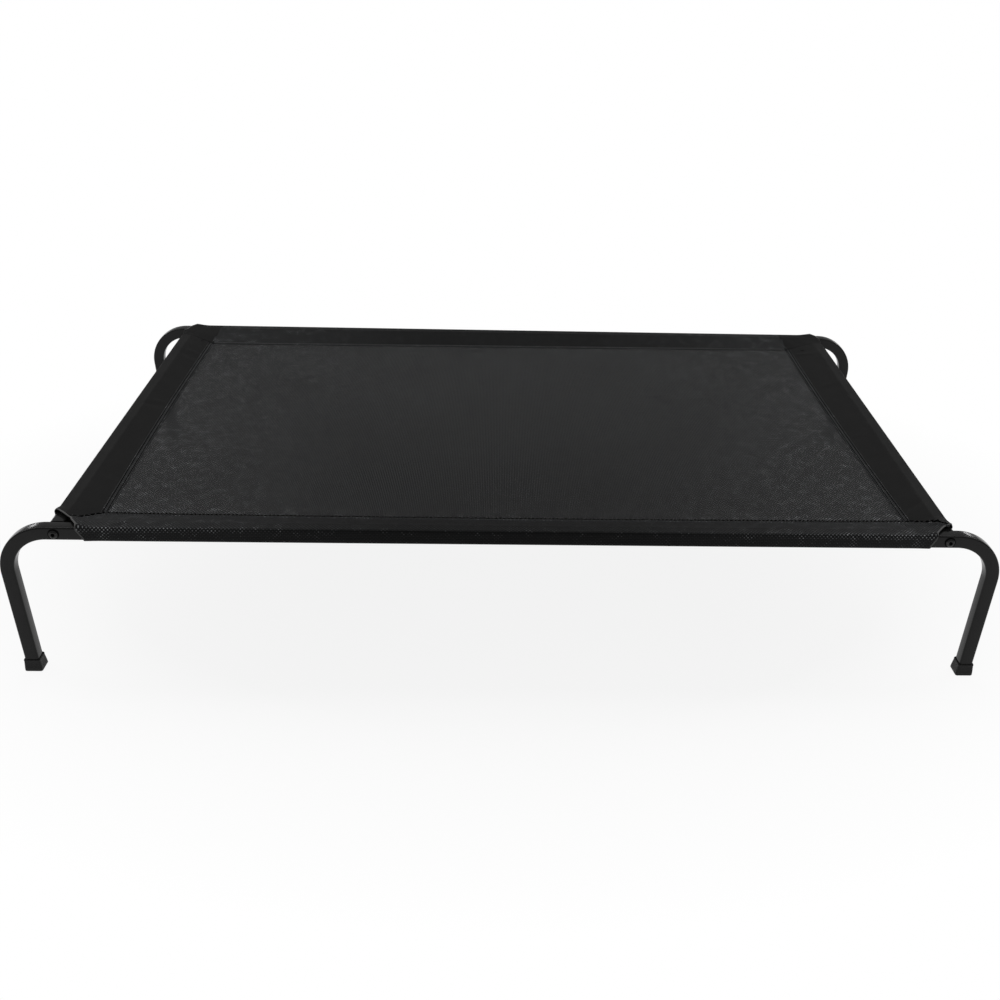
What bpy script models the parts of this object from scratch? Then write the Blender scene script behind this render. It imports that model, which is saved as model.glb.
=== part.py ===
"""Raised dog bed: a knock-down frame of square steel tube that holds a stretched mesh cover.

+X runs along the bed, +Y towards its far side and +Z up. The origin is on the floor, under the
middle of the bed. Lengths are in metres and angles in radians.
"""

import math

import bmesh
import bpy
from mathutils import Matrix

# Overall size
BED_LENGTH = 1.300  # over the outsides of the leg bends
BED_WIDTH = 0.780  # over the outer faces of the long rails
RAIL_HEIGHT = 0.209  # from the floor to the middle of every rail
GAP = 0.0003  # between pieces that touch

# Square tube of the frame
TUBE = 0.018
WALL = 0.0012
TUBE_EDGE = 0.0025
BEND_RADIUS = 0.055
BEND_STEPS = 14
LEG_LEAN = math.radians(3.6)
END_RAIL_X = 0.574
JOINER_LENGTH = 0.160

# Corner bolt and the nut block that it screws into
BOLT_RADIUS = 0.003
BOLT_HOLE = 0.0033
BOLT_LENGTH = 0.032
HEAD_RADIUS = 0.0072
HEAD_RIM = 0.0009
HEAD_HEIGHT = 0.0032
SOCKET_RADIUS = 0.0023
SOCKET_DEPTH = 0.0019
NUT_LENGTH = 0.022

# Foot cap
CAP_BASE = 0.0235
CAP_TOP = 0.0207
CAP_HEIGHT = 0.018
CAP_FLOOR = 0.004
CAP_EDGE = 0.0012

# Cover
CLOTH = 0.001
SLEEVE_DEPTH = 0.0535  # from a rail's outer face to the sleeve's stitching
SEAM_DROP = 0.002  # from the rail's middle down to the stitching
SEAM_ALLOWANCE = 0.006
LEAVES_TOP = 70  # where the cloth leaves the tube's upper inner edge, in degrees
LEAVES_BOTTOM = 283  # and its lower inner edge
LONG_SLEEVE_HALF = 0.545
LONG_SLEEVE_FLARE = 0.017  # how much further out a long sleeve reaches at its stitching

# Worked out from the sizes above
RAIL_Y = (BED_WIDTH - TUBE) / 2
BEND_X = (BED_LENGTH - TUBE) / 2 - BEND_RADIUS
BEND_END_Z = RAIL_HEIGHT - BEND_RADIUS * (1 + math.sin(LEG_LEAN))
FOOT_X = BEND_X + BEND_RADIUS * math.cos(LEG_LEAN) - BEND_END_Z * math.tan(LEG_LEAN)
LEG_END_Z = CAP_FLOOR + GAP + TUBE / 2 * math.sin(LEG_LEAN)
INNER_TUBE = TUBE - 2 * WALL
PLUG = INNER_TUBE - 2 * GAP
END_RAIL_HALF = RAIL_Y - TUBE / 2 - GAP
END_FACE_X = END_RAIL_X + TUBE / 2
OVERRUN = 0.010  # how far a cutter reaches past what it cuts

BLACK_COAT = ("powder_coat_black", (0.021, 0.021, 0.022), 0.32, 0.0)
ZINC = ("zinc_plated_steel", (0.42, 0.43, 0.45), 0.38, 1.0)
BLACK_BOLT = ("black_oxide_steel", (0.035, 0.034, 0.034), 0.30, 0.6)
CAP_PLASTIC = ("foot_cap_plastic", (0.030, 0.030, 0.031), 0.62, 0.0)
MESH_CLOTH = ("mesh_cloth", (0.034, 0.034, 0.037), 0.80, 0.0)
SLEEVE_CLOTH = ("end_sleeve_cloth", (0.019, 0.019, 0.019), 0.85, 0.0)

NEAR, FAR = 0.0, math.pi
LEFT, RIGHT = -math.pi / 2, math.pi / 2


def new_collection(name):
    collection = bpy.data.collections.new(name)
    bpy.context.scene.collection.children.link(collection)
    return collection


def get_material(name, colour, roughness, metallic):
    """A Principled material, made once and shared after that."""
    found = bpy.data.materials.get(name)
    if found:
        return found
    made = bpy.data.materials.new(name)
    made.use_nodes = True
    shader = made.node_tree.nodes["Principled BSDF"]
    shader.inputs["Base Color"].default_value = (*colour, 1.0)
    shader.inputs["Roughness"].default_value = roughness
    shader.inputs["Metallic"].default_value = metallic
    made.diffuse_color = (*colour, 1.0)
    return made


def add_part(collection, name, mesh, finish, location, turn):
    """One sub-part, placed by its location and its turn about Z."""
    part = bpy.data.objects.new(name, mesh)
    part.location = location
    part.rotation_euler = (0, 0, turn)
    collection.objects.link(part)
    material = get_material(*finish)
    if material.name not in mesh.materials:
        mesh.materials.append(material)
    return part


def temporary(mesh):
    """An object that is only needed while a mesh is being made."""
    helper = bpy.data.objects.new("helper", mesh)
    bpy.context.scene.collection.objects.link(helper)
    return helper


def baked(helper, *cutters):
    """The helper's mesh, cut by each cutter, with its modifiers applied. All are then removed."""
    for cutter in cutters:
        cut = helper.modifiers.new("cut", "BOOLEAN")
        cut.operation = "DIFFERENCE"
        cut.object = cutter
    bpy.context.view_layer.update()
    graph = bpy.context.evaluated_depsgraph_get()
    mesh = bpy.data.meshes.new_from_object(helper.evaluated_get(graph))
    mesh.transform(helper.matrix_world)
    for used in (helper, *cutters):
        bpy.data.objects.remove(used, do_unlink=True)
    return mesh


def welded(mesh):
    """The mesh with the loose caps of a curve joined to its sides."""
    work = bmesh.new()
    work.from_mesh(mesh)
    bmesh.ops.remove_doubles(work, verts=work.verts, dist=1e-6)
    bmesh.ops.recalc_face_normals(work, faces=work.faces)
    work.to_mesh(mesh)
    work.free()
    return mesh


def smoothed(mesh, angle=math.radians(35)):
    mesh.shade_smooth()
    mesh.set_sharp_from_angle(angle=angle)
    return mesh


def poly_curve(outlines, cyclic, dimensions):
    """A curve object of straight-sided splines, one for each list of points."""
    curve = bpy.data.curves.new("outline", "CURVE")
    curve.dimensions = dimensions
    for points in outlines:
        spline = curve.splines.new("POLY")
        spline.points.add(len(points) - 1)
        for target, point in zip(spline.points, points):
            target.co = (*point, *(0.0,) * (3 - len(point)), 1.0)
        spline.use_cyclic_u = cyclic
    helper = bpy.data.objects.new("outline", curve)
    bpy.context.scene.collection.objects.link(helper)
    return helper


def arc(x, y, radius, start, end, steps):
    """Points round a centre, anticlockwise, from one angle in degrees to another."""
    angles = [math.radians(start + (end - start) * step / steps) for step in range(steps + 1)]
    return [(x + radius * math.cos(angle), y + radius * math.sin(angle)) for angle in angles]


def rounded_square(side, radius, steps):
    """A square with round corners, anticlockwise about its middle."""
    inset = side / 2 - radius
    corners = ((1, 1), (-1, 1), (-1, -1), (1, -1))
    points = []
    for quarter, (x, y) in enumerate(corners):
        start = quarter * 90
        points += arc(x * inset, y * inset, radius, start, start + 90, steps)
    return points


def swept(path, side, radius, steps=3):
    """A helper object: a solid square bar along a path."""
    section = poly_curve([rounded_square(side, radius, steps)], True, "2D")
    bar = poly_curve([path], False, "3D")
    bar.data.twist_mode = "MINIMUM"
    bar.data.bevel_mode = "OBJECT"
    bar.data.bevel_object = section
    bar.data.use_fill_caps = True
    mesh = welded(baked(bar))
    bpy.data.objects.remove(section, do_unlink=True)
    return temporary(mesh)


def cylinder(radius, depth, location=(0, 0, 0), vertices=28):
    """A cutter: a cylinder along Y."""
    bpy.ops.mesh.primitive_cylinder_add(
        vertices=vertices,
        radius=radius,
        depth=depth,
        location=location,
        rotation=(math.pi / 2, 0, 0),
    )
    return bpy.context.object


def rail_path(overrun):
    """The middle line of half a long rail and its leg, from the bed's middle to the foot."""
    leg_end = LEG_END_Z - overrun * math.cos(LEG_LEAN)
    path = [(GAP / 2 - overrun, 0, RAIL_HEIGHT)]
    for step in range(BEND_STEPS + 1):
        angle = step / BEND_STEPS * (math.pi / 2 + LEG_LEAN)
        x = BEND_X + BEND_RADIUS * math.sin(angle)
        z = RAIL_HEIGHT - BEND_RADIUS + BEND_RADIUS * math.cos(angle)
        path.append((x, 0, z))
    path.append((FOOT_X + leg_end * math.tan(LEG_LEAN), 0, leg_end))
    return path


def leg_rail_mesh():
    """Half a long rail, bent down into a leg, hollow, with a bolt hole through both walls."""
    tube = swept(rail_path(0), TUBE, TUBE_EDGE)
    bore = swept(rail_path(OVERRUN), INNER_TUBE, TUBE_EDGE - WALL, steps=1)
    hole = cylinder(BOLT_HOLE, 2 * TUBE, (END_RAIL_X, 0, RAIL_HEIGHT))
    return smoothed(baked(tube, bore, hole))


def straight_tube_mesh(direction, half_length, side, radius):
    """An open-ended square tube along a horizontal direction, through the origin."""
    x, y = direction
    ends = (-half_length, half_length)
    cuts = (-half_length - OVERRUN, half_length + OVERRUN)
    tube = swept([(x * end, y * end, 0) for end in ends], side, radius)
    bore = swept([(x * end, y * end, 0) for end in cuts], side - 2 * WALL, radius - WALL, steps=1)
    return smoothed(baked(tube, bore))


def tapered_column(bottom, top, low, high):
    """A helper: a square column that leans with the leg, with level ends."""
    bpy.ops.mesh.primitive_cube_add(size=1)
    column = bpy.context.object
    for vertex in column.data.vertices:
        is_top = vertex.co.z > 0
        side = top if is_top else bottom
        z = high if is_top else low
        x = vertex.co.x * side + z * math.tan(LEG_LEAN)
        vertex.co = (x, vertex.co.y * side, z)
    return column


def foot_cap_mesh():
    """A moulded cap with a pocket for the leg's end."""
    pocket_side = TUBE / math.cos(LEG_LEAN) + 2 * GAP
    pocket = tapered_column(pocket_side, pocket_side, CAP_FLOOR, CAP_HEIGHT + OVERRUN)
    cap = tapered_column(CAP_BASE, CAP_TOP, 0, CAP_HEIGHT)
    edges = cap.modifiers.new("round_edges", "BEVEL")
    edges.width = CAP_EDGE
    edges.segments = 3
    edges.limit_method = "ANGLE"
    return smoothed(baked(cap, pocket))


def corner_bolt_mesh():
    """A domed bolt with a hexagon socket. Its head faces -Y and rests at y = 0."""
    profile = []
    for step in range(7):
        angle = step / 6 * math.pi / 2
        dome = HEAD_RIM + (HEAD_HEIGHT - HEAD_RIM) * math.cos(angle)
        profile.append((HEAD_RADIUS * math.sin(angle), 0, dome))
    profile += [
        (HEAD_RADIUS, 0, 0),
        (BOLT_RADIUS, 0, 0),
        (BOLT_RADIUS, 0, -BOLT_LENGTH + BOLT_RADIUS / 3),
        (BOLT_RADIUS * 2 / 3, 0, -BOLT_LENGTH),
        (0, 0, -BOLT_LENGTH),
    ]
    mesh = bpy.data.meshes.new("profile")
    mesh.from_pydata(profile, [(i, i + 1) for i in range(len(profile) - 1)], [])
    bolt = temporary(mesh)
    turned = bolt.modifiers.new("turned", "SCREW")
    turned.steps = turned.render_steps = 28
    turned.use_merge_vertices = True
    turned.merge_threshold = 0.00001
    bolt.rotation_euler = (math.pi / 2, 0, 0)
    socket_middle = -HEAD_HEIGHT + (SOCKET_DEPTH - OVERRUN) / 2
    socket = cylinder(SOCKET_RADIUS, SOCKET_DEPTH + OVERRUN, (0, socket_middle, 0), vertices=6)
    return smoothed(baked(bolt, socket))


def nut_block_mesh():
    """A square plug with a through hole along Y. Its outer face is at y = 0."""
    bpy.ops.mesh.primitive_cube_add(size=1)
    block = bpy.context.object
    block.data.transform(Matrix.Diagonal((PLUG, NUT_LENGTH, PLUG, 1)))
    block.data.transform(Matrix.Translation((0, NUT_LENGTH / 2, 0)))
    edges = block.modifiers.new("round_edges", "BEVEL")
    edges.width = TUBE_EDGE - WALL
    edges.segments = 2
    return smoothed(baked(block, cylinder(BOLT_HOLE, 4 * NUT_LENGTH)))


def sleeve_outline(clearance, tip):
    """A sleeve's section: round the tube, then straight to the stitching at its inner side."""
    inset = TUBE / 2 - TUBE_EDGE
    radius = TUBE_EDGE + clearance
    outer_x, inner_x = TUBE_EDGE, TUBE - TUBE_EDGE
    points = arc(inner_x, inset, radius, LEAVES_TOP, 90, 2)
    points += arc(outer_x, inset, radius, 90, 180, 4)
    points += arc(outer_x, -inset, radius, 180, 270, 4)
    points += arc(inner_x, -inset, radius, 270, LEAVES_BOTTOM, 2)
    return points + tip


def sleeve_mesh(half_length, flare):
    """A cloth tube around a rail. x goes in from the rail's outer face; its length is along Z."""
    outer_tip = [(SLEEVE_DEPTH, -SEAM_DROP - CLOTH), (SLEEVE_DEPTH, -SEAM_DROP + CLOTH)]
    inner_tip = [(SLEEVE_DEPTH - SEAM_ALLOWANCE, -SEAM_DROP)]
    outlines = [sleeve_outline(GAP + CLOTH, outer_tip), sleeve_outline(GAP, inner_tip)]
    outline = poly_curve(outlines, True, "2D")
    outline.data.fill_mode = "BOTH"
    outline.data.extrude = half_length
    mesh = welded(baked(outline))
    for vertex in mesh.vertices:
        vertex.co.z *= 1 + flare * vertex.co.x / SLEEVE_DEPTH / half_length
    mesh.transform(Matrix(((0, 0, 1, 0), (1, 0, 0, 0), (0, 1, 0, 0), (0, 0, 0, 1))))
    return smoothed(mesh)


def panel_mesh():
    """The stretched middle of the cover, a flat cloth between the four stitch lines."""
    half_x = END_FACE_X - SLEEVE_DEPTH - GAP
    half_y = BED_WIDTH / 2 - SLEEVE_DEPTH - GAP
    bpy.ops.mesh.primitive_plane_add(size=2)
    panel = bpy.context.object
    panel.data.transform(Matrix.Diagonal((half_x, half_y, 1, 1)))
    thickness = panel.modifiers.new("cloth", "SOLIDIFY")
    thickness.thickness = CLOTH
    thickness.offset = 0
    return baked(panel)


def build_frame(bed):
    leg_rail = leg_rail_mesh()
    foot_cap = foot_cap_mesh()
    end_rail = straight_tube_mesh((0, 1), END_RAIL_HALF, TUBE, TUBE_EDGE)
    joiner = straight_tube_mesh((1, 0), JOINER_LENGTH / 2, PLUG, TUBE_EDGE - WALL + GAP)
    nut_block = nut_block_mesh()
    bolt = corner_bolt_mesh()
    for side, y in (("near", -RAIL_Y), ("far", RAIL_Y)):
        place = (0, y, RAIL_HEIGHT)
        add_part(bed, f"rail_joiner_{side}", joiner, ZINC, place, 0)
        for end, turn in (("right", 0), ("left", math.pi)):
            add_part(bed, f"leg_rail_{side}_{end}", leg_rail, BLACK_COAT, (0, y, 0), turn)
            foot = (math.copysign(FOOT_X, math.cos(turn)), y, 0)
            add_part(bed, f"foot_cap_{side}_{end}", foot_cap, CAP_PLASTIC, foot, turn)
    for end, x in (("left", -END_RAIL_X), ("right", END_RAIL_X)):
        add_part(bed, f"end_rail_{end}", end_rail, BLACK_COAT, (x, 0, RAIL_HEIGHT), 0)
        for side, sign, turn in (("near", -1, NEAR), ("far", 1, FAR)):
            block_place = (x, sign * (END_RAIL_HALF - GAP), RAIL_HEIGHT)
            bolt_place = (x, sign * (BED_WIDTH / 2 + GAP), RAIL_HEIGHT)
            add_part(bed, f"nut_block_{side}_{end}", nut_block, ZINC, block_place, turn)
            add_part(bed, f"corner_bolt_{side}_{end}", bolt, BLACK_BOLT, bolt_place, turn)


def build_cover(bed):
    add_part(bed, "mesh_panel", panel_mesh(), MESH_CLOTH, (0, 0, RAIL_HEIGHT - SEAM_DROP), 0)
    end_half = BED_WIDTH / 2 - SLEEVE_DEPTH - GAP
    long_sleeve = sleeve_mesh(LONG_SLEEVE_HALF, LONG_SLEEVE_FLARE)
    end_sleeve = sleeve_mesh(end_half, 0)
    edge_y = BED_WIDTH / 2
    sleeves = (
        ("near", long_sleeve, MESH_CLOTH, (0, -edge_y), NEAR),
        ("far", long_sleeve, MESH_CLOTH, (0, edge_y), FAR),
        ("left", end_sleeve, SLEEVE_CLOTH, (-END_FACE_X, 0), LEFT),
        ("right", end_sleeve, SLEEVE_CLOTH, (END_FACE_X, 0), RIGHT),
    )
    for side, mesh, finish, (x, y), turn in sleeves:
        add_part(bed, f"sleeve_{side}", mesh, finish, (x, y, RAIL_HEIGHT), turn)


def main():
    for leftover in list(bpy.data.objects):
        bpy.data.objects.remove(leftover, do_unlink=True)
    bed = new_collection("raised_dog_bed")
    build_frame(bed)
    build_cover(bed)


main()
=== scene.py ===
"""The looks of the raised dog bed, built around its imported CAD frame. Lengths are in metres."""

import math

import bmesh
import bpy
import numpy as np
from mathutils import Matrix, Vector


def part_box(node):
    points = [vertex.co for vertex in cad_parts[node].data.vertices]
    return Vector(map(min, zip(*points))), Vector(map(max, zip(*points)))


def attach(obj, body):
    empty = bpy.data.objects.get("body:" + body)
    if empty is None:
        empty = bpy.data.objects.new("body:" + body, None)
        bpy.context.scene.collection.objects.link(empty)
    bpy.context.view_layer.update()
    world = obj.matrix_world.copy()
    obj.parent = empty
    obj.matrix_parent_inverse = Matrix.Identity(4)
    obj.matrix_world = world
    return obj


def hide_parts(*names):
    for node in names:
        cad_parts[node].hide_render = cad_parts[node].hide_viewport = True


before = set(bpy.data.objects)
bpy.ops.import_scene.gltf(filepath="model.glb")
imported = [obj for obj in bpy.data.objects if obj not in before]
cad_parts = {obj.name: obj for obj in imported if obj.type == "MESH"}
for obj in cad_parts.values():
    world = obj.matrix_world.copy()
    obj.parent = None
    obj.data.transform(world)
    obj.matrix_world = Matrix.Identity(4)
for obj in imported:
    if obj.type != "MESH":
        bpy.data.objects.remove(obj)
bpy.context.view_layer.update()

BODY = "root"
LONG = ("near", "far")
ENDS = ("left", "right")
SIDES = LONG + ENDS
SIGN = {"left": -1, "right": 1, "near": -1, "far": 1}  # which side of the bed's middle each lies on

# ---- sizes read from the frame
END_LOW, END_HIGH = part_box("end_rail_right")
FAR_LOW, FAR_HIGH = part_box("leg_rail_far_right")
CAP_LOW, CAP_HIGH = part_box("foot_cap_far_right")
TUBE = END_HIGH.x - END_LOW.x
RAIL_Z = (END_HIGH.z + END_LOW.z) / 2
RAIL_Y = (FAR_HIGH.y + FAR_LOW.y) / 2
END_X = (END_HIGH.x + END_LOW.x) / 2
OUT_X = END_X + TUBE / 2  # the outer face of an end rail
OUT_Y = RAIL_Y + TUBE / 2  # the outer face of a long rail
BED_HALF = FAR_HIGH.x

# ---- sizes that repeat the CAD design
WALL = 0.0012
TUBE_EDGE = 0.0025
CROWN = 0.00022  # the slight bulge that rolling leaves on a tube's faces
BEND_RADIUS = 0.055
LEG_LEAN = math.radians(3.6)
SEAM_DROP = 0.002
GAP = 0.0003


# ---- meshes
def linked(thing):
    bpy.context.scene.collection.objects.link(thing)
    return thing


def make_object(name, vertices, faces, uvs, material, weld=True):
    """A mesh object with flat-cloth or unrolled-tube coordinates in metres as its UVs."""
    mesh = bpy.data.meshes.new(name)
    mesh.from_pydata([tuple(v) for v in vertices], [], faces)
    layer = mesh.uv_layers.new(name="flat")
    loops = np.zeros(len(mesh.loops), np.int32)
    mesh.loops.foreach_get("vertex_index", loops)
    layer.data.foreach_set("uv", np.asarray(uvs, float)[loops].ravel())
    if weld:
        work = bmesh.new()
        work.from_mesh(mesh)
        bmesh.ops.remove_doubles(work, verts=work.verts, dist=1e-6)
        work.to_mesh(mesh)
        work.free()
    mesh.materials.append(material)
    mesh.shade_smooth()
    return linked(bpy.data.objects.new(name, mesh))


def grid_faces(rows, columns, start=0, flip=False):
    faces = []
    for i in range(rows - 1):
        for j in range(columns - 1):
            a = start + i * columns + j
            face = (a, a + 1, a + columns + 1, a + columns)
            faces.append(face[::-1] if flip else face)
    return faces


def make_grid(name, points, uvs, material, flip=False):
    rows, columns = points.shape[:2]
    faces = grid_faces(rows, columns, 0, flip)
    return make_object(name, points.reshape(-1, 3), faces, uvs.reshape(-1, 2), material)


def arc(x, y, radius, start, end, steps):
    angles = np.radians(np.linspace(start, end, steps + 1))
    return np.stack([x + radius * np.cos(angles), y + radius * np.sin(angles)], axis=1)


def rounded_square(side, radius, steps, crown=0.0):
    """A closed ring from the middle of its lower side. crown is how far each side bulges."""
    inset = side / 2 - radius
    share = np.array([-0.75, -0.5, -0.25, 0.0, 0.25, 0.5, 0.75])
    bulge = side / 2 + crown * (1 - share**2)
    flat = np.stack([share * inset, -bulge], axis=1)
    parts = [flat[3:]]
    for k, (x, y) in enumerate(((1, -1), (1, 1), (-1, 1), (-1, -1))):
        parts.append(arc(x * inset, y * inset, radius, 270 + 90 * k, 360 + 90 * k, steps))
        turn = math.radians(90 * (k + 1))
        turned = flat @ np.array([[math.cos(turn), math.sin(turn)], [-math.sin(turn), math.cos(turn)]])
        parts.append(turned if k < 3 else turned[:4])
    return np.concatenate(parts)


def along(points):
    """The distance of each point from the first one, measured along the line."""
    steps = np.linalg.norm(np.diff(points, axis=0), axis=1)
    return np.concatenate([[0.0], np.cumsum(steps)])


def unit(vectors):
    return vectors / np.linalg.norm(vectors, axis=-1, keepdims=True)


def square_tube(name, path, across, side, material, steps=6):
    """An open-ended square tube swept along a flat path. across is the path's own normal."""
    path = np.asarray(path, float)
    across = np.asarray(across, float)
    ups = np.cross(unit(np.gradient(path, axis=0)), across)
    outer = rounded_square(side, TUBE_EDGE, steps, CROWN)
    inner = rounded_square(side - 2 * WALL, TUBE_EDGE - WALL, steps)
    travel = along(path)
    vertices, uvs = [], []
    for ring in (outer, inner):
        girth = along(ring)
        swept = path[:, None] + ring[:, 0][None, :, None] * across + ring[:, 1][None, :, None] * ups[:, None]
        vertices.append(swept.reshape(-1, 3))
        uv = np.stack(np.broadcast_arrays(travel[:, None], girth[None]), axis=-1)
        uvs.append(uv.reshape(-1, 2))
    rows, columns = len(path), len(outer)
    inner_start = rows * columns
    faces = grid_faces(rows, columns) + grid_faces(rows, columns, inner_start, flip=True)
    for row, flip in ((0, True), (rows - 1, False)):
        for j in range(columns - 1):
            a = row * columns + j
            face = (a, a + 1, inner_start + a + 1, inner_start + a)
            faces.append(face[::-1] if flip else face)
    return make_object(name, np.concatenate(vertices), faces, np.concatenate(uvs), material)


def loft(name, rings, material):
    """A skin over closed rings with the same number of points, capped at both ends."""
    rings = np.asarray(rings, float)
    rows, columns = rings.shape[:2]
    rings = np.concatenate([rings, rings[:, :1]], axis=1)
    travel = along(rings[:, 0])
    uv = np.stack(np.broadcast_arrays(travel[:, None], along(rings[rows // 2])[None]), axis=-1)
    faces = grid_faces(rows, columns + 1)
    faces.append(tuple(range(columns))[::-1])
    start = (rows - 1) * (columns + 1)
    faces.append(tuple(range(start, start + columns)))
    return make_object(name, rings.reshape(-1, 3), faces, uv.reshape(-1, 2), material)


def sharpen(piece, degrees=40):
    piece.data.set_sharp_from_angle(angle=math.radians(degrees))
    return piece


def finish_piece(piece, slot, *replaced):
    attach(piece, BODY)
    if replaced:
        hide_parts(*replaced)
    return piece


# ---- materials
# Noise scales are in cycles a metre, because every material works in metres.
class Nodes:
    """A material's node tree, built a node at a time."""

    def __init__(self, name):
        self.material = bpy.data.materials.new(name)
        self.material.use_nodes = True
        self.tree = self.material.node_tree
        self.shader = self.tree.nodes["Principled BSDF"]
        self.output = self.tree.nodes["Material Output"]

    def put(self, socket, value):
        if isinstance(value, bpy.types.NodeSocket):
            self.tree.links.new(value, socket)
        else:
            socket.default_value = value

    def add(self, kind, inputs=(), **settings):
        node = self.tree.nodes.new(kind)
        for name, value in settings.items():
            setattr(node, name, value)
        for key, value in dict(inputs).items():
            self.put(node.inputs[key], value)
        return node

    def place(self):
        """The object's own coordinates, in metres."""
        return self.add("ShaderNodeTexCoord").outputs["Object"]

    def cloth_place(self):
        """The flat cloth's coordinates, in metres."""
        return self.add("ShaderNodeUVMap", uv_map="flat").outputs["UV"]

    def split(self, vector):
        return self.add("ShaderNodeSeparateXYZ", {0: vector}).outputs

    def math(self, operation, a, b=0.0):
        return self.add("ShaderNodeMath", {0: a, 1: b}, operation=operation).outputs[0]

    def times(self, a, b):
        return self.math("MULTIPLY", a, b)

    def ramp(self, value, low, high, to_low=0.0, to_high=1.0):
        inputs = {"Value": value, "From Min": low, "From Max": high, "To Min": to_low, "To Max": to_high}
        return self.add("ShaderNodeMapRange", inputs).outputs["Result"]

    def mix(self, factor, a, b):
        node = self.add("ShaderNodeMix", {0: factor, 6: a, 7: b}, data_type="RGBA")
        return node.outputs[2]

    def noise(self, vector, scale, detail=2.0, roughness=0.5):
        inputs = {"Vector": vector, "Scale": scale, "Detail": detail, "Roughness": roughness}
        return self.add("ShaderNodeTexNoise", inputs).outputs["Fac"]

    def scaled(self, vector, factors):
        node = self.add("ShaderNodeVectorMath", {0: vector, 1: factors}, operation="MULTIPLY")
        return node.outputs[0]

    def bump(self, height, strength, distance, normal=None):
        inputs = {"Height": height, "Strength": strength, "Distance": distance}
        if normal is not None:
            inputs["Normal"] = normal
        return self.add("ShaderNodeBump", inputs).outputs["Normal"]

    def set(self, **values):
        for name, value in values.items():
            self.put(self.shader.inputs[name.replace("_", " ")], value)
        return self.material


def grey(level, warm=0.0):
    return (level * (1 + warm), level, level * (1 - warm), 1.0)


def powder_coat():
    """Satin black powder coat: fine orange peel, faint dust and scuffed spots."""
    n = Nodes("powder_coat_black")
    place = n.place()
    peel = n.noise(place, 750.0, 2.0)
    dust = n.noise(place, 35.0, 4.0, 0.6)
    rub = n.ramp(n.noise(place, 160.0, 5.0, 0.7), 0.60, 0.80)
    colour = n.mix(n.ramp(dust, 0.35, 0.75), grey(0.0095), grey(0.0135, 0.02))
    colour = n.mix(n.times(rub, 0.25), colour, grey(0.030))
    roughness = n.ramp(dust, 0.2, 0.8, 0.15, 0.22)
    normal = n.bump(peel, 0.08, 0.0004)
    return n.set(Base_Color=colour, Roughness=roughness, Normal=normal, Specular_IOR_Level=0.17)


def plated_steel():
    """Bright zinc plate with a faint spangle."""
    n = Nodes("zinc_plated_steel")
    place = n.place()
    spangle = n.noise(place, 220.0, 3.0)
    colour = n.mix(spangle, grey(0.36, -0.02), grey(0.50, -0.01))
    roughness = n.ramp(spangle, 0.3, 0.7, 0.28, 0.45)
    return n.set(Base_Color=colour, Roughness=roughness, Metallic=1.0)


def bolt_steel():
    """Black plate, a little greyer in spots where handling has scuffed it."""
    n = Nodes("black_plated_steel")
    place = n.place()
    wear = n.noise(place, 500.0, 4.0, 0.65)
    colour = n.mix(n.ramp(wear, 0.45, 0.75), grey(0.020, 0.01), grey(0.045, 0.02))
    roughness = n.ramp(wear, 0.3, 0.7, 0.22, 0.36)
    normal = n.bump(wear, 0.15, 0.0002)
    return n.set(Base_Color=colour, Roughness=roughness, Metallic=0.8, Normal=normal)


def cap_plastic():
    """Moulded plastic with a fine spark-eroded grain."""
    n = Nodes("foot_cap_plastic")
    place = n.place()
    grain = n.noise(place, 2600.0, 2.0)
    scuff = n.noise(n.scaled(place, (1.0, 1.0, 0.35)), 260.0, 5.0, 0.7)
    colour = n.mix(n.ramp(scuff, 0.45, 0.85), grey(0.018), grey(0.028, 0.015))
    roughness = n.ramp(scuff, 0.3, 0.8, 0.50, 0.68)
    normal = n.bump(grain, 0.30, 0.0002)
    return n.set(Base_Color=colour, Roughness=roughness, Normal=normal, Specular_IOR_Level=0.18)


YARN_PITCH = 0.0024  # of the mesh
FINE_PITCH = 0.0008  # of the end sleeves' cloth


def plain_weave(n, flat, pitch):
    """Over-and-under and the two yarns of a plain weave. flat is the cloth's own place in metres."""
    split = n.split(n.scaled(flat, (math.pi / pitch,) * 3))
    warp, weft = (n.math("SINE", split[k]) for k in (0, 1))
    over = n.times(warp, weft)
    return over, n.math("ABSOLUTE", warp), n.math("ABSOLUTE", weft)


def shaded(n, colour, shade):
    return n.add("ShaderNodeVectorMath", {0: colour, 3: shade}, operation="SCALE").outputs[0]


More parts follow.
